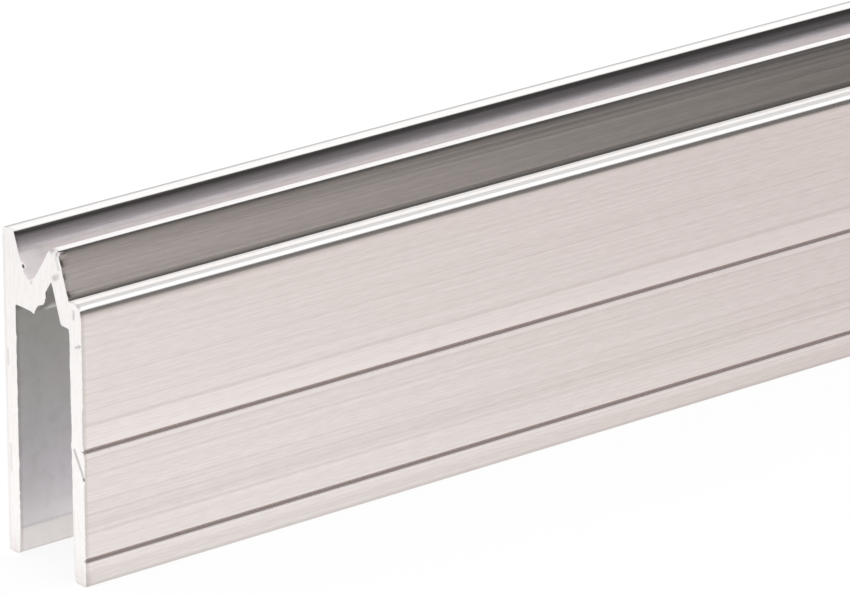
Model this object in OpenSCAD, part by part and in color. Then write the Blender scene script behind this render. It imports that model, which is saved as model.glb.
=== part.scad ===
// Self-mating closing profile: one bar of extruded aluminium.
// Two legs grip the edge of a panel. The lip, groove, ridge and ledge on top
// close on a second bar of the same section that is turned over.
// The bar lies along X and stands on its leg tips, with its front face towards -Y.

/* [Stock] */
// Length of the bar
stock_length = 1000; // [250:50:4000]

/* [Panel channel] */
// Width of the slot that takes the edge of the panel
panel_slot = 7; // [6.5:0.5:10]
// Thickness of the two legs
leg_wall = 1.5; // [1.2:0.1:2]
// Depth of the slot, from the leg tips up to its roof
slot_depth = 20.7; // [16:0.1:30]
// Metal between the slot's roof and the ledge
roof_thickness = 2.25; // [2:0.05:3.5]
// Height of the taper that leads a panel in between the leg tips
lead_in_height = 2.1; // [1:0.1:4]
// Width that the taper adds to the slot at each leg tip
lead_in_depth = 0.1; // [0.05:0.05:0.3]

/* [Interlock] */
// Height of the lip and of the ridge above the ledge
tooth_height = 3.65; // [2.5:0.05:5]
// Width of the flat top of the lip
lip_width = 1.5; // [1.3:0.05:2]
// Width of the flat crest of the ridge
crest_width = 0.75; // [0.6:0.05:1.2]
// Lean of the lip's inner flank and of the ridge's front flank, in degrees
flank_angle = 19.5; // [10:0.5:22]
// Sideways play between two bars that are closed on each other
mating_play = 0.05; // [0.05:0.05:0.2]
// Metal around the hollow inside the ridge
ridge_wall = 1.65; // [1.4:0.05:2]

/* [Drill lines] */
// Height of the upper drill line above the leg tips
upper_line_height = 11.1; // [8:0.05:14]
// Height of the lower drill line above the leg tips
lower_line_height = 2.15; // [1.5:0.05:4]
// Width of a drill line where it meets the front face
line_width = 0.36; // [0.2:0.02:0.6]
// Depth of a drill line
line_depth = 0.18; // [0.1:0.02:0.3]

/* [Edges] */
// Radius of the outer edge of the ledge
ledge_radius = 0.75; // [0.3:0.05:0.75]
// Radius of the outer edge of the lip
lip_radius = 0.2; // [0.1:0.05:0.8]
// Radius of the other edges of the lip and the ridge
tooth_radius = 0.1; // [0.05:0.05:0.3]
// Radius of the fillets in the groove and at the foot of the front flank
root_radius = 0.15; // [0.1:0.05:0.5]
// Radius of the corners inside the slot
slot_radius = 0.2; // [0.1:0.05:0.5]
// Radius at the top of the hollow in the ridge
hollow_radius = 0.1; // [0.05:0.05:0.3]
// Radius of the outer edges of the leg tips
tip_radius = 0.2; // [0.1:0.05:0.4]
// Radius of the inner edges of the leg tips
mouth_radius = 0.4; // [0.1:0.05:0.6]

/* [Hidden] */
aluminium = [0.80, 0.78, 0.77];

// Largest turn between two points of an edge's arc, in degrees
arc_step = 15;
// Largest share of a side that the arc at one of its ends may take
arc_share = 0.49;

// The section is drawn from its back face (0) to its front face, and up from the leg tips (0).
section_width = panel_slot + 2 * leg_wall;
slot_front = leg_wall + panel_slot;
ledge_level = slot_depth + roof_thickness;
top_level = ledge_level + tooth_height;

// Groove and ridge answer each other under a half turn, apart from the play.
flank_run = tooth_height * tan(flank_angle);
groove_back = lip_width + flank_run;
groove_front = groove_back + crest_width + 2 * mating_play;
flank_foot = section_width - lip_width - mating_play;
crest_front = flank_foot - flank_run;
crest_back = crest_front - crest_width;

// Point where the line through a along d crosses the line through b along e
function meet(a, d, b, e) = a + d * cross(b - a, e) / cross(d, e);

// Start of the line that runs beside the line from a to b, on its right, at a distance
function beside(a, b, distance) = a + [b.y - a.y, a.x - b.x] * distance / norm(b - a);

// Vector turned by an angle
function turned(v, angle) = [v.x * cos(angle) - v.y * sin(angle), v.x * sin(angle) + v.y * cos(angle)];

// Arc that rounds the corner at p between its neighbours a and b
function corner_arc(a, p, b, radius) =
    let (
        to_a = (a - p) / norm(a - p),
        to_b = (b - p) / norm(b - p),
        half_angle = acos(to_a * to_b) / 2,
        room = arc_share * min(norm(a - p), norm(b - p)),
        tangent = min(radius / tan(half_angle), room),
        middle = (to_a + to_b) / norm(to_a + to_b),
        centre = p + middle * tangent / cos(half_angle),
        spoke = p + to_a * tangent - centre,
        side = sign(cross(to_b, to_a)),
        sweep = 180 - 2 * half_angle,
        steps = ceil(sweep / arc_step)
    )
    [for (i = [0 : steps]) centre + turned(spoke, side * sweep * i / steps)];

// Outline with each corner [x, y, radius] rounded, and left sharp where the radius is 0
function rounded(corners) =
    let (
        count = len(corners),
        at = [for (c = corners) [c.x, c.y]]
    )
    [for (i = [0 : count - 1])
        each corners[i].z == 0
            ? [at[i]]
            : corner_arc(at[(i + count - 1) % count], at[i], at[(i + 1) % count], corners[i].z)];

// Lip, groove, ridge and ledge, from the back face to the front face
function interlock() = [
    [0, top_level, lip_radius],
    [lip_width, top_level, tooth_radius],
    [groove_back, ledge_level, root_radius],
    [groove_front, ledge_level, root_radius],
    [crest_back, top_level, tooth_radius],
    [crest_front, top_level, tooth_radius],
    [flank_foot, ledge_level, root_radius],
    [section_width, ledge_level, ledge_radius]
];

// Shallow V that marks where to drill, on the front face
function drill_line(height) = [
    [section_width, height + line_width / 2, 0],
    [section_width - line_depth, height, 0],
    [section_width, height - line_width / 2, 0]
];

// Front leg's tip, the slot with the hollow in the ridge above it, and the back leg's tip
function slot() =
    let (
        groove_corner = [groove_front, ledge_level],
        crest_corner = [crest_back, top_level],
        front_corner = [crest_front, top_level],
        foot_corner = [flank_foot, ledge_level],
        rear_side = beside(groove_corner, crest_corner, ridge_wall),
        front_side = beside(front_corner, foot_corner, ridge_wall),
        rear_run = crest_corner - groove_corner,
        front_run = foot_corner - front_corner,
        roof_start = [0, slot_depth],
        roof_run = [1, 0],
        hollow_front = meet(front_side, front_run, roof_start, roof_run),
        hollow_apex = meet(front_side, front_run, rear_side, rear_run),
        hollow_back = meet(rear_side, rear_run, roof_start, roof_run)
    )
    [
        [section_width, 0, tip_radius],
        [slot_front + lead_in_depth, 0, mouth_radius],
        [slot_front, lead_in_height, 0],
        [slot_front, slot_depth, slot_radius],
        [hollow_front.x, slot_depth, slot_radius],
        [hollow_apex.x, hollow_apex.y, hollow_radius],
        [hollow_back.x, slot_depth, slot_radius],
        [leg_wall, slot_depth, slot_radius],
        [leg_wall, lead_in_height, 0],
        [leg_wall - lead_in_depth, 0, mouth_radius],
        [0, 0, tip_radius]
    ];

module section() {
    outline = rounded(concat(
        interlock(),
        drill_line(upper_line_height),
        drill_line(lower_line_height),
        slot()
    ));
    polygon([for (p = outline) [section_width / 2 - p.x, p.y]]);
}

module profile() {
    color(aluminium)
        rotate([90, 0, 90])
            linear_extrude(height = stock_length, center = true)
                section();
}

profile();
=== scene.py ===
from math import cos, hypot, pi, radians, sin, tan

import bmesh
import bpy
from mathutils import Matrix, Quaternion, Vector, noise


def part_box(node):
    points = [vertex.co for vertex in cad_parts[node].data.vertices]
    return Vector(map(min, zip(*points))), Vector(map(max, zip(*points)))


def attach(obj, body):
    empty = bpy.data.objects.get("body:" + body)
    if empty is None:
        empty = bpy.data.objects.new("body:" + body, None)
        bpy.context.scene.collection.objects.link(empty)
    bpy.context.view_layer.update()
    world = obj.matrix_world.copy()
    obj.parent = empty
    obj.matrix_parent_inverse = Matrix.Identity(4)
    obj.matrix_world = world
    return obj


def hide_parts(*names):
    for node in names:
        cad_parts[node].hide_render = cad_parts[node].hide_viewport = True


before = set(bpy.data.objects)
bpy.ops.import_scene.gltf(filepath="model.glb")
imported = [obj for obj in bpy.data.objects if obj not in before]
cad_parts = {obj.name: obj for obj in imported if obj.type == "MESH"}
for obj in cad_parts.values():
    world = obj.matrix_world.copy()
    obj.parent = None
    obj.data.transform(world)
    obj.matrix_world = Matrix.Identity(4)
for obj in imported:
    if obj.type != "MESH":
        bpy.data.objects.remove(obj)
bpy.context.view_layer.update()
mm = 0.001
sameSpot = 0.001 * mm
barLow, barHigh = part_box("profile")
print("frame loaded:", list(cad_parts))


# Shader sockets that take part in Python sums

class Wire:
    def __init__(self, tree, socket=None):
        self.tree = tree
        self.socket = socket

    def node(self, kind, settings=None, inputs=None, output=0):
        made = self.tree.nodes.new(kind)
        for name, value in (settings or {}).items():
            if name == "stops":
                self.fillRamp(made.color_ramp.elements, value)
            else:
                setattr(made, name, value)
        for name, value in (inputs or {}).items():
            if isinstance(value, Wire):
                self.tree.links.new(value.socket, made.inputs[name])
            else:
                made.inputs[name].default_value = value
        return Wire(self.tree, made.outputs[output] if len(made.outputs) else None)

    def fillRamp(self, elements, stops):
        while len(elements) < len(stops):
            elements.new(1.0)
        for element, (place, shade) in zip(elements, stops):
            element.position = place
            element.color = shade

    def sibling(self, name):               # another output of the same node
        return Wire(self.tree, self.socket.node.outputs[name])

    def axes(self):
        split = self.node("ShaderNodeSeparateXYZ", {}, {0: self})
        return [split.sibling(name) for name in "XYZ"]

    def maths(self, operation, *values):
        return self.node("ShaderNodeMath", {"operation": operation}, dict(enumerate(values)))

    def vector(self, operation, other, output=0):
        return self.node("ShaderNodeVectorMath", {"operation": operation}, {0: self, 1: other}, output)

    def __add__(self, other):
        return self.maths("ADD", self, other)

    __radd__ = __add__

    def __sub__(self, other):
        return self.maths("SUBTRACT", self, other)

    def __rsub__(self, other):
        return self.maths("SUBTRACT", other, self)

    def __mul__(self, other):
        return self.maths("MULTIPLY", self, other)

    __rmul__ = __mul__

    def between(self, start, end, low=0.0, high=1.0):
        return self.node(
            "ShaderNodeMapRange",
            {"interpolation_type": "SMOOTHSTEP"},
            {"Value": self, "From Min": start, "From Max": end, "To Min": low, "To Max": high},
        )

    def fading(self, start, end, share=1.0):
        return self.between(start, end, share, 0.0)

    def within(self, rise, fall):
        return self.between(*rise) * self.fading(*fall)

    def away(self, middle):
        return self.maths("ABSOLUTE", self - middle)

    def shifted(self, target, share):
        return self + share * (target - self)

    def blend(self, first, second):
        return self.node("ShaderNodeMix", {"data_type": "RGBA"}, {0: self, 6: first, 7: second}, 2)


def onSection(across, up):
    return Vector((barLow.x, barHigh.y - across * mm, barLow.z + up * mm))


def newMaterial(name):
    material = bpy.data.materials.new(name)
    material.use_nodes = True
    material.node_tree.nodes.clear()
    return material, Wire(material.node_tree)


def colour(red, green, blue):
    return (red, green, blue, 1.0)


def grey(tone):
    return colour(tone, tone, tone)


def stretchedNoise(wire, place, cells, detail, rough):
    scaled = wire.node("ShaderNodeMapping", {}, {"Vector": place, "Scale": cells})
    return wire.node(
        "ShaderNodeTexNoise",
        {},
        {"Vector": scaled, "Scale": 1.0, "Detail": detail, "Roughness": rough},
    )


def metalSurface(wire, base, roughness, relief, reliefDepth):
    bump = wire.node(
        "ShaderNodeBump",
        {},
        {"Strength": 1.0, "Distance": reliefDepth * mm, "Height": relief},
    )
    shader = wire.node(
        "ShaderNodeBsdfPrincipled",
        {},
        {"Base Color": base, "Metallic": 1.0, "Roughness": roughness, "Normal": bump},
    )
    wire.node("ShaderNodeOutputMaterial", {}, {"Surface": shader})


# Mill finish: bright aluminium with the lines that the die draws along the bar
# Places are in mm, across from the back face, up from the leg tips or in from the cut.
# Two numbers are where a zone starts and where it is full, or where it fades and ends.

millSkinLook = {
    "light": colour(0.893, 0.880, 0.872),
    "dark": colour(0.724, 0.702, 0.689),
    "grimeAndShade": colour(0.50, 0.48, 0.47),    # darker metal: grime in blotches in the slot and a line along the top of the lead-in, and painted shade at the leg tips, their corners and along the cut
    "roughness": (0.13, 0.19),
    "roughnessMix": (0.6, 0.4),            # shares of the fine lines and the patches
    "fineLines": ((14.0, 7000.0, 7000.0), 2.0, 0.6),   # noise cells a metre on X, Y, Z, detail, roughness
    "wideLines": ((6.0, 1500.0, 1500.0), 2.0, 0.5),
    "shortLines": ((600.0, 5000.0, 5000.0), 2.0, 0.6),
    "patches": ((18.0, 160.0, 160.0), 3.0, 0.55),
    "blotches": ((900.0, 900.0, 900.0), 3.0, 0.6),
    "noiseSpan": (0.3, 0.7),               # part of a noise's range that shows
    "wideSpan": (0.32, 0.68),
    "blotchSpan": (0.4, 0.75),
    "wideShare": 0.32,
    "fineShare": 0.42,
    "shortShare": 0.29,
    "patchShare": 0.2,
    "blotchShare": 0.14,
    "toneShift": -0.085,
    "lineDepth": 0.0020,
    "lineMix": (0.7, 0.9),                 # shares of the fine and the wide lines in the relief
    "frontSkin": (9.92, 9.98),
    "frontCalm": (0.18, 0.12),             # how much weaker wide and fine lines are on the front face
    "frontLevel": 0.35,                    # tone of the front face that changes nothing
    "frontGround": (                       # height and tone of the front face
        (0.0, 0.35), (5.0, 0.42), (7.6, 0.48), (9.5, 0.43),
        (10.8, 0.53), (16.0, 0.55), (18.5, 0.46), (22.0, 0.42),
    ),
    "paleBands": (                         # lowest and highest place and gain of a smoother band
        (1.30, 4.20, 0.24),
        (10.55, 13.02, 0.26),
    ),
    "bandEdge": 0.06,
    "dieMarks": (                          # height, half width and gain of a mark of the die
        (1.10, 0.20, -0.08), (1.80, 0.10, 0.20), (4.38, 0.13, -0.22), (4.61, 0.11, 0.24),
        (4.88, 0.12, -0.12), (5.10, 0.15, -0.28), (5.88, 0.13, -0.34), (6.88, 0.13, -0.26),
        (9.10, 0.15, -0.22), (10.42, 0.15, -0.34), (13.24, 0.22, -0.44), (14.38, 0.13, -0.22),
        (15.75, 0.18, -0.20), (16.88, 0.12, -0.22), (17.65, 0.12, -0.14), (19.40, 0.14, -0.12),
        (20.25, 0.20, -0.14), (21.25, 0.18, -0.12),
    ),
    "markCore": 0.3,                       # share of a mark that has its full gain
    "ledgeSide": (8.3, 8.4),
    "ledgeLow": (22.10, 22.20),
    "ledgeHigh": (22.892, 22.91),
    # painted highlight: the ledge and its rounded outer edge are made lighter
    "ledgeHighlight": 0.45,
    "edgeLow": (21.95, 22.15),             # duller metal round the ledge's outer edge
    "edgeHigh": (22.84, 22.885),
    "edgeRoughness": 0.215,
    "lipEdgeShade": grey(0.36),                # painted shade along the back edge of the lip, a dark outline
    "lipEdgeShadeWidth": (0.25, 0.60),
    "lipEdgeShadeHeight": (26.3, 26.4),
    "grooveSides": ((1.30, 1.35), (3.6, 3.7)),
    "grooveTints": (colour(1.05, 0.98, 1.01), colour(1.02, 1.02, 1.13)),   # low and high on the lip's flank
    "grooveRise": (24.9, 25.7),
    "lipShade": colour(0.40, 0.39, 0.40),  # painted shade under the lip's inner edge
    "lipShadeRise": (25.98, 26.36),
    "grooveTop": (26.47, 26.55),
    "slotShadedAtCut": (colour(0.785, 0.788, 0.822), colour(0.92, 0.928, 0.913)),   # low and high in the slot at the cut: painted shade, darker near the cut and low down
    "slotInside": (colour(0.865, 0.868, 0.908), colour(0.985, 0.991, 0.974)),
    "slotRise": (3.0, 14.0),
    # painted shade on the slot walls fades over this reach from the cut
    "slotFade": (0.5, 4.5),
    "slotRoughness": 0.38,
    "slotMiddle": 5.0,
    "slotHalf": (3.62, 3.70),
    "slotTop": (22.6, 22.7),               # inside the roof, between the slot and the groove
    "mouth": colour(0.855, 0.848, 0.861),  # taper at the leg tips
    "mouthTop": (2.05, 2.15),
    "mouthLine": ((2.05, 2.18), (2.28, 2.45)),
    "mouthLineShare": 0.3,
    "hollow": colour(0.26, 0.262, 0.25),   # painted shade in the hollow under the ridge
    "hollowStart": (20.4, 21.6),
    # painted shade reaches lower near the cut, under the burr's tongue
    "hollowNear": (0.5, 1.5),
    "hollowShift": 0.55,
    "hollowMiddle": 6.2,
    "hollowHalf": (1.0, 1.1),
    "hollowTop": (24.0, 24.2),
    # painted shade at the leg tips, where the metal would reflect the floor's contact shadow
    "tipHeight": (0.12, 0.42),
    "tipShare": 0.42,
    "cornerReach": (0.25, 0.85),           # painted shade at the corner where a tip meets the cut
    "cornerHeight": (0.4, 1.5),
    "cornerShare": 0.38,
    # painted shade along the cut's edge
    "cutReach": (0.12, 0.45),
    "cutShare": 0.36,
    "smear": colour(0.985, 0.938, 0.948),  # metal that the saw has pushed into the groove
    "smearRoughness": 0.55,
    "smearMiddle": 2.45,
    "smearHalf": (0.55, 0.75),
    "smearTop": (24.8, 25.4),
    "smearReach": (0.8, 3.0),
}

drillLines = {
    "heights": (11.1, 2.15),
    "width": 0.45,
    "depth": 0.18,
    "edgeRadius": 0.06,
    "rootRadius": 0.03,
    "lineShade": (colour(0.375, 0.325, 0.314), colour(0.74, 0.663, 0.632)),   # painted shade in a line, darker below its middle and lighter above
    "lineRoughness": 0.5,
    "lineShadeReach": (1.2, 1.4),               # in half widths of a line
    "lineShadeTurn": 0.2,
    "lineShadeSkin": ((9.5, 9.6), (9.95, 9.99)),
}


def frontTone(wire, height, look):
    stops = [(up * mm / barHigh.z, grey(tone)) for up, tone in look["frontGround"]]
    front = wire.node("ShaderNodeValToRGB", {"stops": stops}, {0: height * (mm / barHigh.z)})
    edge = look["bandEdge"]
    for low, high, gain in look["paleBands"]:
        front = front + height.within((low - edge, low + edge), (high - edge, high + edge)) * gain
    for middle, half, gain in look["dieMarks"]:
        front = front + height.away(middle).fading(half * look["markCore"], half, gain)
    return front


def cleanMetal(wire, grain, across, height, look):
    inFront = across.between(*look["frontSkin"])
    onLedge = height.within(look["ledgeLow"], look["ledgeHigh"]) * across.between(*look["ledgeSide"])
    calmWide, calmFine = look["frontCalm"]
    tone = grain["wideLines"].between(*look["wideSpan"]) * (look["wideShare"] - inFront * calmWide)
    tone = tone + grain["fineLines"].between(*look["noiseSpan"]) * (look["fineShare"] - inFront * calmFine)
    tone = tone + grain["shortLines"].between(*look["noiseSpan"]) * look["shortShare"]
    tone = tone + grain["patches"] * look["patchShare"] + look["toneShift"]
    tone = tone + inFront * (frontTone(wire, height, look) - look["frontLevel"])
    # painted highlight on the ledge
    tone = tone + onLedge * look["ledgeHighlight"]
    return wire.node("ShaderNodeClamp", {}, {0: tone}).blend(look["dark"], look["light"])


def tintGroove(wire, base, across, height, look):
    inGroove = across.within(*look["grooveSides"]) * height.within(look["slotTop"], look["grooveTop"])
    tint = height.between(*look["grooveRise"]).blend(*look["grooveTints"])
    multiply = {"data_type": "RGBA", "blend_type": "MULTIPLY"}
    base = wire.node("ShaderNodeMix", multiply, {0: inGroove, 6: base, 7: tint}, 2)
    # painted shade at the top of the lip's inner flank, under its edge
    underLip = inGroove * height.between(*look["lipShadeRise"])
    return underLip.blend(base, look["lipShade"])


# Painted shade in the drill lines: darker on the lower side, lighter on the upper side
def shadeDrillLines(base, across, height, lines):
    half = lines["width"] / 2
    full, end = (half * reach for reach in lines["lineShadeReach"])
    turn = half * lines["lineShadeTurn"]
    inSkin = across.within(*lines["lineShadeSkin"])
    lineShade = 0.0
    for line in lines["heights"]:
        onLine = height.within((line - end, line - full), (line + full, line + end)) * inSkin
        shade = height.between(line - turn, line + turn).blend(*lines["lineShade"])
        base = onLine.blend(base, shade)
        lineShade = onLine + lineShade
    return base, lineShade


def slotTone(grain, height, fromCut, look):
    # Slot walls: painted shade, darker near the cut and low down
    rise = height.between(*look["slotRise"])
    atCut = rise.blend(*look["slotShadedAtCut"])
    inside = rise.blend(*look["slotInside"])
    tone = fromCut.between(*look["slotFade"]).blend(atCut, inside)
    tone = height.between(*look["mouthTop"]).blend(look["mouth"], tone)
    blotched = grain["blotches"].between(*look["blotchSpan"], 0.0, look["blotchShare"])
    tone = blotched.blend(tone, look["grimeAndShade"])
    mouthLine = height.within(*look["mouthLine"]) * look["mouthLineShare"]
    tone = mouthLine.blend(tone, look["grimeAndShade"])
    # painted shade in the hollow, reaching lower near the cut
    shaded = height + fromCut.fading(*look["hollowNear"], look["hollowShift"])
    return shaded.between(*look["hollowStart"]).blend(tone, look["hollow"])


# Painted shade: darker metal at the leg tips, at the corner where a front tip meets the cut, and along the
# cut
def shadeTipsAndCut(base, across, height, fromCut, look):
    tips = height.fading(*look["tipHeight"], look["tipShare"])
    corner = fromCut.fading(*look["cornerReach"], look["cornerShare"])
    corner = corner * height.fading(*look["cornerHeight"]) * across.between(*look["frontSkin"])
    cut = fromCut.fading(*look["cutReach"], look["cutShare"])
    for shadeZone in (tips, corner, cut):
        base = shadeZone.blend(base, look["grimeAndShade"])
    return base


def makeMillSkin(look, lines):
    material, wire = newMaterial("mill_skin")
    place = wire.node("ShaderNodeTexCoord", {}, {}, "Object")
    along, depth, rise = place.axes()
    across = (barHigh.y - depth) * (1 / mm)
    height = rise * (1 / mm)
    fromCut = (barHigh.x - along.away(0.0)) * (1 / mm)
    grainNames = ("fineLines", "wideLines", "shortLines", "patches", "blotches")
    grain = {name: stretchedNoise(wire, place, *look[name]) for name in grainNames}

    base = cleanMetal(wire, grain, across, height, look)
    # painted shade: a dark line along the lip's back edge
    lipEdgeMask = height.between(*look["lipEdgeShadeHeight"]) * across.fading(*look["lipEdgeShadeWidth"])
    base = lipEdgeMask.blend(base, look["lipEdgeShade"])
    base = tintGroove(wire, base, across, height, look)
    base, lineShade = shadeDrillLines(base, across, height, lines)
    inSlot = across.away(look["slotMiddle"]).fading(*look["slotHalf"]) * height.fading(*look["slotTop"])
    inHollow = across.away(look["hollowMiddle"]).fading(*look["hollowHalf"])
    inHollow = inHollow * height.fading(*look["hollowTop"])
    inSlot = wire.maths("MAXIMUM", inSlot, inHollow)
    base = inSlot.blend(base, slotTone(grain, height, fromCut, look))
    base = shadeTipsAndCut(base, across, height, fromCut, look)
    smear = across.away(look["smearMiddle"]).fading(*look["smearHalf"])
    smear = smear * height.within(look["slotTop"], look["smearTop"]) * fromCut.fading(*look["smearReach"])
    base = smear.blend(base, look["smear"])

    fineShare, patchShare = look["roughnessMix"]
    mixed = grain["fineLines"] * fineShare + grain["patches"] * patchShare
    onEdge = height.within(look["edgeLow"], look["edgeHigh"]) * across.between(*look["ledgeSide"])
    roughness = mixed.between(*look["noiseSpan"], *look["roughness"])
    roughness = roughness.shifted(lines["lineRoughness"], lineShade)
    roughness = roughness.shifted(look["slotRoughness"], inSlot)
    roughness = roughness.shifted(look["smearRoughness"], smear)
    roughness = roughness.shifted(look["edgeRoughness"], onEdge)
    fineRelief, wideRelief = look["lineMix"]
    relief = grain["fineLines"] * fineRelief + grain["wideLines"] * wideRelief
    metalSurface(wire, base, roughness, relief, look["lineDepth"])
    return material


# Sawn end: fresh metal, paler than the skin, with the streaks of the saw

sawnEndLook = {
    "light": colour(0.975, 0.967, 0.962),
    "dark": colour(0.90, 0.887, 0.882),
    # dark pits, cracks and scars, and painted shade along the rims of the sawn face
    "markAndShade": colour(0.10, 0.095, 0.09),
    "roughness": (0.40, 0.55),
    "roughnessSpan": (0.3, 0.7),
    "streaks": ((400.0, 4500.0, 500.0), 3.0, 0.6),   # noise cells a metre on X, Y, Z, detail, roughness
    "crumbs": ((2500.0, 2500.0, 2500.0), 2.0, 0.5),
    "toneMix": (0.6, 0.4),                 # shares of streaks and crumbs in the colour
    "toneSpan": (0.3, 0.6),
    "reliefMix": (0.7, 0.3),               # and in the relief
    "streakDepth": 0.003,
    "nearEnd": (-0.1, 0.1),                # along the bar in metres: scars are on its one end
    "markCore": 0.4,                       # share of a mark's radius that has its full strength
    "marks": [                             # place on the section, radius and strength of dark pits
        (2.65, 24.09, 0.24, 1.0),
        (6.30, 26.45, 0.34, 0.40),
        (6.60, 26.25, 0.20, 0.32),
        (9.98, 8.85, 0.22, 0.45),
        (6.54, 24.22, 0.34, 0.20),
        (6.82, 24.40, 0.38, 0.22),
        (7.10, 24.55, 0.34, 0.16),
    ],
    "scarEnd": 0.1,                        # length over which a scar starts and ends
    "scarsAndRimShade": [                             # ends on the section, half width and strength of dark lines: cracks and scars, and painted shade along the rims and the leg tips
        ((8.72, 11.08), (10.02, 8.85), (0.07, 0.22), 0.40),
        # these six run along the sawn face's rims and leg tips: painted shade
        ((0.38, 16.80), (0.38, 15.40), (0.05, 0.20), 0.16),
        ((0.45, 9.00), (0.50, 6.70), (0.06, 0.22), 0.12),
        ((0.10, 0.60), (0.10, 25.9), (0.10, 0.28), 0.07),
        ((8.60, 0.40), (8.60, 6.0), (0.06, 0.20), 0.06),
        ((0.10, 0.05), (1.40, 0.05), (0.06, 0.20), 0.08),
        ((8.62, 0.05), (9.95, 0.05), (0.06, 0.20), 0.10),
        ((9.04, 22.47), (9.04, 21.64), (0.06, 0.22), 0.28),
        ((9.10, 19.38), (9.80, 19.66), (0.05, 0.15), 0.32),
        ((6.75, 26.35), (7.25, 25.10), (0.05, 0.22), 0.16),
    ],
}


# Dark marks on the torn end: pits, cracks and scars, and painted shade along the sawn face's rims
def marksAndRimShade(place, look):
    onNearEnd = place.axes()[0].fading(*look["nearEnd"])
    marked = 0.0
    for across, up, radius, strength in look["marks"]:
        gone = place.vector("DISTANCE", onSection(across, up), "Value")
        marked = gone.fading(radius * look["markCore"] * mm, radius * mm, strength) + marked
    soft = look["scarEnd"] * mm
    for first, last, (core, rim), strength in look["scarsAndRimShade"]:
        start = onSection(*first)
        run = onSection(*last) - start
        along = run.normalized()
        aside = Vector((0, -along.z, along.y))
        offset = place.vector("SUBTRACT", start)
        gone = offset.vector("DOT_PRODUCT", along, "Value")
        off = offset.vector("DOT_PRODUCT", aside, "Value").away(0.0)
        ends = gone.within((0.0, soft), (run.length, run.length + soft))
        marked = off.fading(core * mm, rim * mm, strength) * ends * onNearEnd + marked
    return marked


def makeSawnEnd(look):
    material, wire = newMaterial("sawn_end")
    place = wire.node("ShaderNodeTexCoord", {}, {}, "Object")
    streaks = stretchedNoise(wire, place, *look["streaks"])
    crumbs = stretchedNoise(wire, place, *look["crumbs"])
    streakTone, crumbTone = look["toneMix"]
    tone = (streaks * streakTone + crumbs * crumbTone).between(*look["toneSpan"])
    base = marksAndRimShade(place, look).blend(tone.blend(look["dark"], look["light"]), look["markAndShade"])
    roughness = crumbs.between(*look["roughnessSpan"], *look["roughness"])
    streakRelief, crumbRelief = look["reliefMix"]
    relief = streaks * streakRelief + crumbs * crumbRelief
    metalSurface(wire, base, roughness, relief, look["streakDepth"])
    return material


# Section of the bar, in mm from its back face and up from its leg tips

barSection = {
    "panelSlot": 7.0,
    "legWall": 1.5,
    "slotDepth": 20.7,
    "roofThickness": 2.19,
    "leadInHeight": 2.1,
    "leadInDepth": 0.1,
    "toothHeight": 3.71,
    "lipWidth": 1.5,
    "crestWidth": 0.75,
    "flankAngle": radians(19.5),
    "matingPlay": 0.05,
    "ridgeWall": (1.50, 1.71),             # behind and before the hollow
    "ledgeRadius": 0.70,
    "ledgeDrop": 0.875,                    # height of the steep facet under the ledge's edge
    "ledgeFacet": radians(21.4),
    "facetRadius": 1.1,
    "lipRadius": 0.2,
    "toothRadius": 0.06,
    "rootRadius": 0.08,
    "lipRoll": ((1.3, radians(4.05)),),    # length and extra lean at a flank's top
    "frontRoll": ((0.5, radians(4.0)), (2.0, radians(0.8))),
    "footEase": (0.50, radians(4.7)),      # length and lean that a flank loses at its foot
    "flankSteps": (0.0, 0.1, 0.2, 0.3, 0.45, 0.7, 1.0, 1.4, 2.0, 2.8, 3.4, 3.55, 3.7),
    "slotRadius": 0.2,
    "hollowRadius": 0.1,
    "tipRadius": 0.1,
    "mouthRadius": 0.4,
    "arcSegments": 8,
    "fineRadius": 0.05,                    # up to here an arc has fewer segments
    "fineSegments": 2,
    "smoothAngle": radians(28),
}


def besideLine(start, end, distance):
    run = (end - start).normalized()
    return start + Vector((run.y, -run.x)) * distance, run


def meetLines(first, firstRun, second, secondRun):
    gap = second - first
    return first + firstRun * gap.cross(secondRun) / firstRun.cross(secondRun)


def rolledFlank(top, foot, rolls, size):
    run = (foot - top).normalized()
    inward = Vector((run.y, -run.x))
    height = (foot - top).length
    easeLength, easeAngle = size["footEase"]
    points = []
    for gone in (*size["flankSteps"], height):
        depth = 0.0
        for length, angle in rolls:
            depth += tan(angle) * max(0.0, length - gone) ** 2 / length / 2
        depth -= tan(easeAngle) * max(0.0, easeLength - height + gone) ** 2 / easeLength / 2
        point = top + run * gone + inward * depth
        points.append((*point, 0))
    return points


def lineCorners(width, lines):
    half = lines["width"] / 2
    corners = []
    for line in lines["heights"]:
        corners += [
            (width, line + half, lines["edgeRadius"]),
            (width - lines["depth"], line, lines["rootRadius"]),
            (width, line - half, lines["edgeRadius"]),
        ]
    return corners


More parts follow.
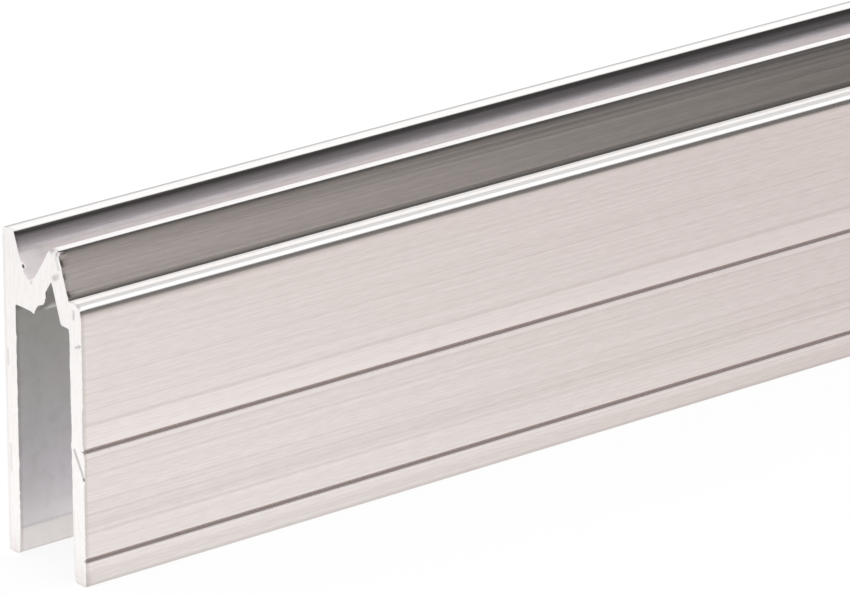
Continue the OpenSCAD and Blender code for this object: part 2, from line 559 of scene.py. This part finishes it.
def sectionCorners(size, lines):
    width = 2 * size["legWall"] + size["panelSlot"]
    roof = size["slotDepth"]
    ledge = roof + size["roofThickness"]
    top = ledge + size["toothHeight"]
    run = size["toothHeight"] * tan(size["flankAngle"])
    lip = size["lipWidth"]
    play = size["matingPlay"]
    grooveBack = Vector((lip + run, ledge))
    grooveFront = grooveBack + Vector((size["crestWidth"] + 2 * play, 0))
    flankFoot = Vector((width - lip - play, ledge))
    crestFront = Vector((flankFoot.x - run, top))
    crestBack = crestFront - Vector((size["crestWidth"], 0))
    rearWall, frontWall = size["ridgeWall"]
    rearSide, rearRun = besideLine(grooveFront, crestBack, rearWall)
    frontSide, frontRun = besideLine(crestFront, flankFoot, frontWall)
    roofStart = Vector((0, roof))
    level = Vector((1, 0))
    hollowFront = meetLines(frontSide, frontRun, roofStart, level)
    hollowApex = meetLines(frontSide, frontRun, rearSide, rearRun)
    hollowBack = meetLines(rearSide, rearRun, roofStart, level)
    slotBack = size["legWall"]
    slotFront = slotBack + size["panelSlot"]
    mouth = size["leadInDepth"]
    lipFlank = rolledFlank(Vector((lip, top)), grooveBack, size["lipRoll"], size)
    frontFlank = rolledFlank(crestFront, flankFoot, size["frontRoll"], size)
    edgeLevel = ledge - size["ledgeDrop"]
    edgeStart = width - size["ledgeDrop"] * tan(size["ledgeFacet"])
    return [
        (0, top, size["lipRadius"]),
        (lipFlank[0][0], top, size["toothRadius"]),
        *lipFlank[1:-1],
        (lipFlank[-1][0], ledge, size["rootRadius"]),
        (*grooveFront, size["rootRadius"]),
        (*crestBack, size["toothRadius"]),
        (frontFlank[0][0], top, size["toothRadius"]),
        *frontFlank[1:-1],
        (frontFlank[-1][0], ledge, size["rootRadius"]),
        (edgeStart, ledge, size["ledgeRadius"]),
        (width, edgeLevel, size["facetRadius"]),
        *lineCorners(width, lines),
        (width, 0, size["tipRadius"]),
        (slotFront + mouth, 0, size["mouthRadius"]),
        (slotFront, size["leadInHeight"], 0),
        (slotFront, roof, size["slotRadius"]),
        (*hollowFront, size["slotRadius"]),
        (*hollowApex, size["hollowRadius"]),
        (*hollowBack, size["slotRadius"]),
        (slotBack, roof, size["slotRadius"]),
        (slotBack, size["leadInHeight"], 0),
        (slotBack - mouth, 0, size["mouthRadius"]),
        (0, 0, size["tipRadius"]),
    ]


def pick(kind, test):
    bpy.ops.mesh.select_mode(type=kind)
    bpy.ops.mesh.select_all(action="DESELECT")
    mesh = bmesh.from_edit_mesh(bpy.context.object.data)
    found = mesh.verts if kind == "VERT" else mesh.faces
    for item in found:
        if test(item):
            item.select_set(True)
    mesh.select_flush_mode()
    bmesh.update_edit_mesh(bpy.context.object.data)


def drawSection(name, corners):
    bpy.ops.object.select_all(action="DESELECT")
    places = [onSection(across, up) for across, up, radius in corners]
    bpy.ops.mesh.primitive_plane_add(size=1 * mm, location=places[0])
    bar = bpy.context.object
    bar.name = name
    bpy.ops.object.transform_apply(location=True, rotation=True, scale=True)
    bpy.ops.object.mode_set(mode="EDIT")
    bpy.ops.mesh.select_mode(type="VERT")
    bpy.ops.mesh.select_all(action="SELECT")
    bpy.ops.mesh.merge(type="CENTER")      # one point, drawn out along the outline
    for here, there in zip(places, places[1:]):
        bpy.ops.mesh.extrude_region_move(TRANSFORM_OT_translate={"value": there - here})
    bpy.ops.mesh.select_all(action="SELECT")
    bpy.ops.mesh.edge_face_add()
    return bar, places


def roundCorners(corners, places, size):
    count = len(corners)
    for i, (across, up, radius) in enumerate(corners):
        if radius == 0:
            continue
        here = places[i]
        before = (places[i - 1] - here).normalized()
        after = (places[(i + 1) % count] - here).normalized()
        tangent = radius * mm / tan(before.angle(after) / 2)
        pick("VERT", lambda vert: (vert.co - here).length < sameSpot)
        bpy.ops.mesh.bevel(
            offset=tangent,
            offset_type="OFFSET",
            segments=size["arcSegments"] if radius > size["fineRadius"] else size["fineSegments"],
            profile=0.5,
            affect="VERTICES",
            clamp_overlap=True,
        )


# Saw damage on the two ends, in mm on the section

sawDamage = {
    "seeds": (3.0, 17.0),                  # of the torn end and of the plain one
    "gridStep": 0.22,
    "gridShift": 0.37,                     # in steps, so that no cut falls on a corner
    "slices": (0.12, 0.32, 0.9, 3.0, 12.0, 60.0),   # cuts along the bar, counted from each end
    "secondShare": 0.35,                   # how far the second slice follows a burr
    "fringe": 0.05,                        # reach of the burr that runs round the cut
    "fringeMix": (0.7, 0.5),               # shares of coarse and fine noise
    "fringeCells": (2.3, 6.1),
    "fineSeed": 9.0,
    "waviness": 0.012,
    "waveCells": (1.6, 0.25),              # across and up
    "tabs": [                              # place, half length and reach of each larger burr
        (2.42, 24.07, 0.28, 0.74),
        (7.23, 26.31, 0.13, 0.28),
        (6.21, 23.25, 0.30, 0.08),
        (10.0, 13.0, 1.8, -0.13),
        (9.92, 11.10, 0.28, 0.12),
        (9.92, 2.15, 0.28, 0.12),
        (10.0, 9.6, 1.30, 0.14),
        (8.5, 11.2, 0.35, 0.10),
    ],
    "tabSlope": 3.0,
    "tabMix": (0.85, 0.5),                 # steady share, and share of fine noise
    "rolls": [                             # stretch of the outline, and reach at its two ends
        ((2.20, 24.62), (2.55, 23.63), 0.0, 0.10),
        ((3.66, 22.89), (6.20, 26.23), 0.04, 0.12),
        ((4.487, 21.443), (4.924, 22.039), 0.04, 0.52),
        ((4.924, 22.039), (5.315, 22.571), 0.36, 0.36),
    ],
    "rollSide": 0.09,                      # how far from its stretch a roll is felt
    "rollMix": (0.97, 0.3),
    "fill": ((2.60, 23.62), (3.62, 22.97)),   # straight edge of the burr across the groove's corner
    "fillReach": 0.7,
    "ragged": [                            # place, radius and gain of the coarser stretches
        (6.9, 26.3, 1.1, 3.0),
        (10.0, 12.0, 12.0, 3.0),
    ],
    "flake": {"from": (8.67, 11.13), "to": (10.05, 8.9), "width": 0.12, "depth": 0.05, "margin": 0.3},
    "pits": [                              # place, radius and depth
        (6.70, 26.50, 0.55, 0.35),
        (6.80, 24.45, 0.28, 0.10),
        (9.72, 19.65, 0.24, 0.14),
        (9.04, 22.10, 0.20, 0.10),
    ],
}


def cutGrid(damage):
    step = damage["gridStep"] * mm
    for axis in (1, 2):
        normal = Vector((0, 0, 0))
        normal[axis] = 1
        count = int((barHigh[axis] - barLow[axis]) / step)
        for i in range(1, count + 1):
            place = Vector(barLow)
            place[axis] += (i - damage["gridShift"]) * step
            bpy.ops.mesh.select_all(action="SELECT")
            bpy.ops.mesh.bisect(plane_co=place, plane_no=normal)


def drawLength(damage):
    length = barHigh.x - barLow.x
    near = [step * mm for step in damage["slices"]]
    places = near + [length - step for step in reversed(near)] + [length]
    reached = 0.0
    bpy.ops.mesh.select_mode(type="FACE")
    bpy.ops.mesh.select_all(action="SELECT")
    for place in places:
        bpy.ops.mesh.extrude_region_move(TRANSFORM_OT_translate={"value": (place - reached, 0, 0)})
        reached = place
    bpy.ops.mesh.select_all(action="SELECT")
    bpy.ops.mesh.remove_doubles(threshold=sameSpot / 2)
    bpy.ops.mesh.normals_make_consistent(inside=False)


def cutFlake(flake):
    start = onSection(*flake["from"])
    end = onSection(*flake["to"])
    run = (end - start).normalized()
    across = Vector((0, -run.z, run.y))
    middle = (start + end) / 2
    reach = (end - start).length / 2 + flake["margin"] * mm
    for side in (-1, 0, 1):
        pick("FACE", lambda face: (face.calc_center_median() - middle).length < reach)
        place = middle + across * side * flake["width"] * mm
        bpy.ops.mesh.bisect(plane_co=place, plane_no=across)


# Flat layout of the bar's surface: the sides unrolled below, the two sawn faces above

layout = {
    "sidesStart": 0.004,
    "sides": 0.80,
    "lengthStops": (                       # distance from an end in mm, and place in the layout
        (0, 0.004), (0.12, 0.012), (0.32, 0.024), (0.9, 0.05), (3.0, 0.085), (12.0, 0.14), (60.0, 0.2),
    ),
    "ends": (0.815, 0.175),                # where the sawn faces start, and their width
    "endStarts": (0.01, 0.51),
    "endLength": 0.48,
}


def isSawn(face):
    return abs(face.normal.x) > 0.9


def placeAlong(gone, length):
    if gone > length / 2:
        return 1 - placeAlong(length - gone, length)
    stops = layout["lengthStops"]
    for (low, lowAt), (high, highAt) in zip(stops, stops[1:]):
        if gone <= high:
            return lowAt + (highAt - lowAt) * (gone - low) / (high - low)
    last, lastAt = stops[-1]
    return lastAt + (0.5 - lastAt) * (gone - last) / (length / 2 - last)


def sectionKey(vert):
    return round(vert.co.y / mm, 3), round(vert.co.z / mm, 3)


def onRim(edge):
    if not edge.is_manifold or sum(isSawn(face) for face in edge.link_faces) != 1:
        return False
    return all(abs(vert.co.x - barLow.x) < sameSpot for vert in edge.verts)


def walkOutline(mesh):
    links = {}
    for edge in filter(onRim, mesh.edges):
        for vert in edge.verts:
            links.setdefault(vert, []).append(edge.other_vert(vert))
    start = min(links, key=lambda vert: vert.co.z - vert.co.y)
    places = {}
    gone = 0.0
    before, here = None, start
    while True:
        places[sectionKey(here)] = gone
        there = next(vert for vert in links[here] if vert is not before)
        gone += (there.co - here.co).length
        before, here = here, there
        if here is start:
            return places, gone


def unrollBar(bar):
    mesh = bmesh.new()
    mesh.from_mesh(bar.data)
    mesh.normal_update()
    places, around = walkOutline(mesh)
    bar.data.uv_layers[0].name = "OFBake"
    flat = mesh.loops.layers.uv[0]
    length = (barHigh.x - barLow.x) / mm
    endStart, endWidth = layout["ends"]
    for face in mesh.faces:
        if isSawn(face):
            shift = layout["endStarts"][0 if face.calc_center_median().x < 0 else 1]
            for corner in face.loops:
                across = (barHigh.y - corner.vert.co.y) / (barHigh.y - barLow.y)
                up = (corner.vert.co.z - barLow.z) / (barHigh.z - barLow.z)
                corner[flat].uv = (shift + up * layout["endLength"], endStart + across * endWidth)
            continue
        spots = [places[sectionKey(corner.vert)] for corner in face.loops]
        highest = max(spots)
        for corner, spot in zip(face.loops, spots):
            if highest - spot > around / 2:
                spot += around             # the outline closes inside this face
            gone = (corner.vert.co.x - barLow.x) / mm
            aside = layout["sidesStart"] + layout["sides"] * spot / around
            corner[flat].uv = (placeAlong(gone, length), aside)
    mesh.to_mesh(bar.data)
    mesh.free()


def sideNormal(vert):
    total = Vector((0, 0, 0))
    for face in vert.link_faces:
        if not isSawn(face):
            total += face.normal
    return total.normalized() if total.length else None


def alongStretch(across, up, start, end):
    run = Vector(end) - Vector(start)
    offset = Vector((across, up)) - Vector(start)
    return offset.dot(run) / run.length_squared, abs(offset.cross(run)) / run.length


def burrReach(across, up, damage, seed, torn):
    coarseCells, fineCells = damage["fringeCells"]
    coarseShare, fineShare = damage["fringeMix"]
    coarse = noise.noise(Vector((across * coarseCells, up * coarseCells, seed)))
    fine = noise.noise(Vector((across * fineCells, up * fineCells, seed + damage["fineSeed"])))
    reach = damage["fringe"] * max(0.0, coarseShare * coarse + fineShare * fine)
    if not torn:
        return reach
    for atAcross, atUp, radius, gain in damage["ragged"]:
        if hypot(across - atAcross, up - atUp) < radius:
            reach *= gain
    steady, varied = damage["rollMix"]
    for start, end, first, last in damage["rolls"]:
        along, aside = alongStretch(across, up, start, end)
        if 0 <= along <= 1 and aside < damage["rollSide"]:
            reach += (first + (last - first) * along) * (steady + varied * fine)
            break
    steady, varied = damage["tabMix"]
    for atAcross, atUp, half, out in damage["tabs"]:
        gone = hypot(across - atAcross, up - atUp) / half
        if gone < 1:
            reach += out * min(1.0, (1 - gone) * damage["tabSlope"]) * (steady + varied * fine)
    return reach


def fillMove(across, up, damage):
    start, end = (Vector(place) for place in damage["fill"])
    run = (end - start).normalized()
    outward = Vector((-run.y, run.x))
    offset = Vector((across, up)) - start
    short = -offset.dot(outward)
    if 0 <= offset.dot(run) <= (end - start).length and 0 < short < damage["fillReach"]:
        return outward * short
    return None


def pitDepth(across, up, damage):
    depth = 0.0
    for atAcross, atUp, radius, deep in damage["pits"]:
        gone = hypot(across - atAcross, up - atUp) / radius
        depth += deep * max(0.0, 1 - gone)
    return depth


def sawnDepth(across, up, damage, seed, torn):
    acrossCells, upCells = damage["waveCells"]
    wave = noise.noise(Vector((across * acrossCells, up * upCells, seed)))
    depth = damage["waviness"] * (1 + wave)
    if not torn:
        return depth
    depth += pitDepth(across, up, damage)
    flake = damage["flake"]
    along, aside = alongStretch(across, up, flake["from"], flake["to"])
    if 0 <= along <= 1:
        depth += flake["depth"] * max(0.0, 1 - aside / flake["width"])
    return depth


def damageEnd(bar, damage, endX, inward, seed, torn):
    mesh = bmesh.new()
    mesh.from_mesh(bar.data)
    mesh.normal_update()
    moves = {}
    slack = 0.01
    first, _, last = damage["slices"][:3]
    for vert in mesh.verts:
        gone = (vert.co.x - endX) * inward / mm
        if gone > last:
            continue
        across = (barHigh.y - vert.co.y) / mm
        up = (vert.co.z - barLow.z) / mm
        side = sideNormal(vert)
        if not side:                       # inside the sawn face
            moves[vert] = Vector((inward * sawnDepth(across, up, damage, seed, torn) * mm, 0, 0))
            continue
        dent = pitDepth(across, up, damage) * (1 - gone / last) if torn else 0.0
        move = Vector((inward * dent, 0, 0))
        if gone < first + slack:
            share = 1.0 if gone < slack else damage["secondShare"]
            fill = fillMove(across, up, damage) if torn else None
            if fill:
                move += Vector((0, -fill.x, fill.y)) * share
            else:
                move += side * burrReach(across, up, damage, seed, torn) * share
        moves[vert] = move * mm
    for vert, move in moves.items():
        vert.co += move
    mesh.to_mesh(bar.data)
    mesh.free()


def makeBar(size, lines, damage, skin, sawn):
    corners = sectionCorners(size, lines)
    bar, places = drawSection("profile_bar", corners)
    roundCorners(corners, places, size)
    cutGrid(damage)
    cutFlake(damage["flake"])
    drawLength(damage)
    bpy.ops.object.mode_set(mode="OBJECT")
    unrollBar(bar)
    tornSeed, plainSeed = damage["seeds"]
    damageEnd(bar, damage, barLow.x, 1, tornSeed, True)
    damageEnd(bar, damage, barHigh.x, -1, plainSeed, False)
    bar.data.materials.append(skin)
    bar.data.materials.append(sawn)
    for face in bar.data.polygons:
        face.material_index = 1 if isSawn(face) else 0
    bpy.ops.object.shade_smooth_by_angle(angle=size["smoothAngle"])
    print("bar:", len(bar.data.vertices), "points,", len(bar.data.polygons), "faces")
    return bar


millSkin = makeMillSkin(millSkinLook, drillLines)
sawnEnd = makeSawnEnd(sawnEndLook)
bar = makeBar(barSection, drillLines, sawDamage, millSkin, sawnEnd)
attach(bar, "root")
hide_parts("profile")


# Floor, studio and camera

studioLook = {
    "floorSize": 80.0,
    "floorLevel": -0.02 * mm,              # just under the burrs of the leg tips
    "paper": colour(0.90, 0.87, 0.85),
    "seenPaper": colour(1.04, 1.044, 1.048),
    "glowShare": 0.85,
    "glowCentre": (barLow.x, barLow.y - 10 * mm, 0.0),
    "frontFade": (10 * mm, 120 * mm),      # in front of the bar
    "frontGlow": (colour(0.985, 0.93, 0.905), colour(0.812, 0.724, 0.703)),   # near and far paper
    "backFade": (20 * mm, 230 * mm),       # behind it, beyond the sawn end
    "backGlow": (colour(1.15, 1.13, 1.12), colour(0.80, 0.78, 0.77)),
    "endFade": (barLow.x, barLow.x + 25 * mm),
    "behindBar": (0.0, 20 * mm),           # where the paper behind the bar takes over
    "besideEnd": (barLow.x - 3 * mm, barLow.x),
    "besideFade": (-14 * mm, 2 * mm),
    "gain": 1.6,
    "slantReach": (0.53, 0.655),           # share of the direction that runs along the bar
    "slant": (radians(-2.2), radians(5.0)),
    "around": (                            # angle over the bar from front to back, and light
        (0, colour(0.435, 0.396, 0.376)),
        (10, colour(0.435, 0.396, 0.376)),
        (19, colour(0.036, 0.034, 0.032)),
        (29.5, colour(0.036, 0.034, 0.032)),
        (33.5, grey(0.32)),
        (40, grey(0.62)),
        (51, colour(0.88, 0.872, 0.868)),
        (70, colour(0.88, 0.872, 0.868)),
        (86, grey(0.57)),
        (102, grey(0.40)),
        (112, grey(0.56)),
        (128, grey(0.58)),
        (142, grey(0.752)),
        (168, grey(0.752)),
        (176, grey(0.50)),
        (180, grey(0.50)),
    ),
    "glossyBounces": 12,
}


def makeFloor(look):
    bpy.ops.object.select_all(action="DESELECT")
    bpy.ops.mesh.primitive_plane_add(size=look["floorSize"], location=(0, 0, look["floorLevel"]))
    floor = bpy.context.object
    floor.name = "studio_floor"
    material, wire = newMaterial("pale_floor")
    camera = wire.node("ShaderNodeLightPath", {}, {}, "Is Camera Ray")
    seen = camera + camera.sibling("Is Glossy Ray") + camera.sibling("Is Transmission Ray")
    place = wire.node("ShaderNodeTexCoord", {}, {}, "Object")
    along, depth, _ = place.axes()
    gone = place.vector("DISTANCE", look["glowCentre"], "Value")
    front = gone.between(*look["frontFade"]).blend(*look["frontGlow"])
    faded = wire.maths("MAXIMUM", gone.between(*look["backFade"]), along.between(*look["endFade"]))
    behind = faded.blend(*look["backGlow"])
    beside = along.fading(*look["besideEnd"]) * depth.between(*look["besideFade"])
    back = wire.maths("MAXIMUM", beside, depth.between(*look["behindBar"]))
    tint = camera.blend(back.blend(front, behind), look["seenPaper"])
    paper = wire.node("ShaderNodeBsdfDiffuse", {}, {"Color": look["paper"]})
    glow = wire.node("ShaderNodeEmission", {}, {"Color": tint, "Strength": 1.0})
    mixed = wire.node("ShaderNodeMixShader", {}, {0: seen * look["glowShare"], 1: paper, 2: glow})
    wire.node("ShaderNodeOutputMaterial", {}, {"Surface": mixed})
    floor.data.materials.append(material)


def makeWorld(look):
    world = bpy.data.worlds.new("studio")
    bpy.context.scene.world = world
    world.use_nodes = True
    world.node_tree.nodes.clear()
    wire = Wire(world.node_tree)
    direction = wire.node("ShaderNodeTexCoord", {}, {}, "Generated")
    along, depth, up = direction.axes()
    slant = along.between(*look["slantReach"], *look["slant"])
    turn = (wire.maths("ARCTAN2", up, depth * -1.0) + slant) * (1 / pi)
    stops = [(angle / 180, shade) for angle, shade in look["around"]]
    studio = wire.node("ShaderNodeValToRGB", {"stops": stops}, {0: turn})
    lit = wire.node("ShaderNodeVectorMath", {"operation": "SCALE"}, {0: studio, "Scale": look["gain"]})
    camera = wire.node("ShaderNodeLightPath", {}, {}, "Is Camera Ray")
    shade = wire.node("ShaderNodeBackground", {}, {"Color": camera.blend(lit, grey(1.0))})
    wire.node("ShaderNodeOutputWorld", {}, {"Surface": shade})


cameraView = {
    "aim": (33.15 * mm, 15.8 * mm),        # on the front face: from the sawn end, and up
    "azimuth": radians(-38.49),
    "elevation": radians(20.72),
    "roll": radians(-0.155),
    "distance": 595.4 * mm,
    "sensor": 36.0,
    "lens": 322.5,
    "clipStart": 10 * mm,
}


def makeCamera(view):
    along, up = view["aim"]
    aim = Vector((barLow.x + along, barLow.y, barLow.z + up))
    flat = cos(view["elevation"])
    back = Vector((
        sin(view["azimuth"]) * flat,
        -cos(view["azimuth"]) * flat,
        sin(view["elevation"]),
    ))
    bpy.ops.object.camera_add(location=aim + back * view["distance"])
    camera = bpy.context.object
    turn = (-back).to_track_quat("-Z", "Y") @ Quaternion((0, 0, 1), view["roll"])
    camera.rotation_euler = turn.to_euler()
    camera.data.sensor_width = view["sensor"]
    camera.data.lens = view["lens"]
    camera.data.clip_start = view["clipStart"]
    bpy.context.scene.camera = camera


makeFloor(studioLook)
makeWorld(studioLook)
makeCamera(cameraView)
bpy.context.scene.view_settings.view_transform = "Standard"
bpy.context.scene.cycles.glossy_bounces = studioLook["glossyBounces"]
print("studio and camera ready")
